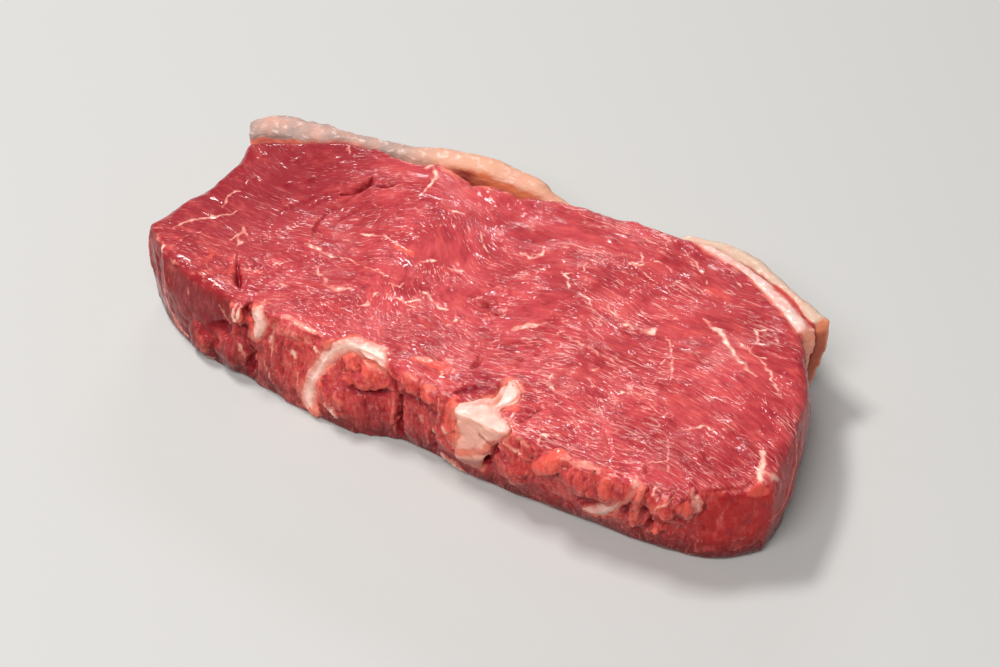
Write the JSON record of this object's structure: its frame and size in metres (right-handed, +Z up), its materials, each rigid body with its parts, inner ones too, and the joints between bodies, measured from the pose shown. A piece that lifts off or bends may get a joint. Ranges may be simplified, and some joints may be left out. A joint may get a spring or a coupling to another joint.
{
  "type": "raw sirloin steak",
  "caption": "Raw sirloin steak, a thick oblong slice of red beef with a strip of cream fat along one long edge, lying flat, for cooking.",
  "frame": {"origin": "middle of the steak's box, on the surface that it lies on", "axes": "+X along the steak, +Y towards the strip of fat, +Z up through its thickness"},
  "size_m": [0.1888, 0.0922, 0.0282],
  "materials": {
    "red_meat": "soft, wet and finely fibrous, satin with small bright glints",
    "cream_fat": "soft and waxy, satin",
    "white_fat": "soft and waxy, satin, faintly pink",
    "gristle": "firm and pearly, moist"
  },
  "bodies": {
    "root": {"lean": "red_meat", "fat_cap": "cream_fat", "fat_band": "white_fat", "fat_seam": "cream_fat", "fat_sliver": "white_fat", "fat_nub": "white_fat", "gristle": "gristle"}
  },
  "joints": []
}
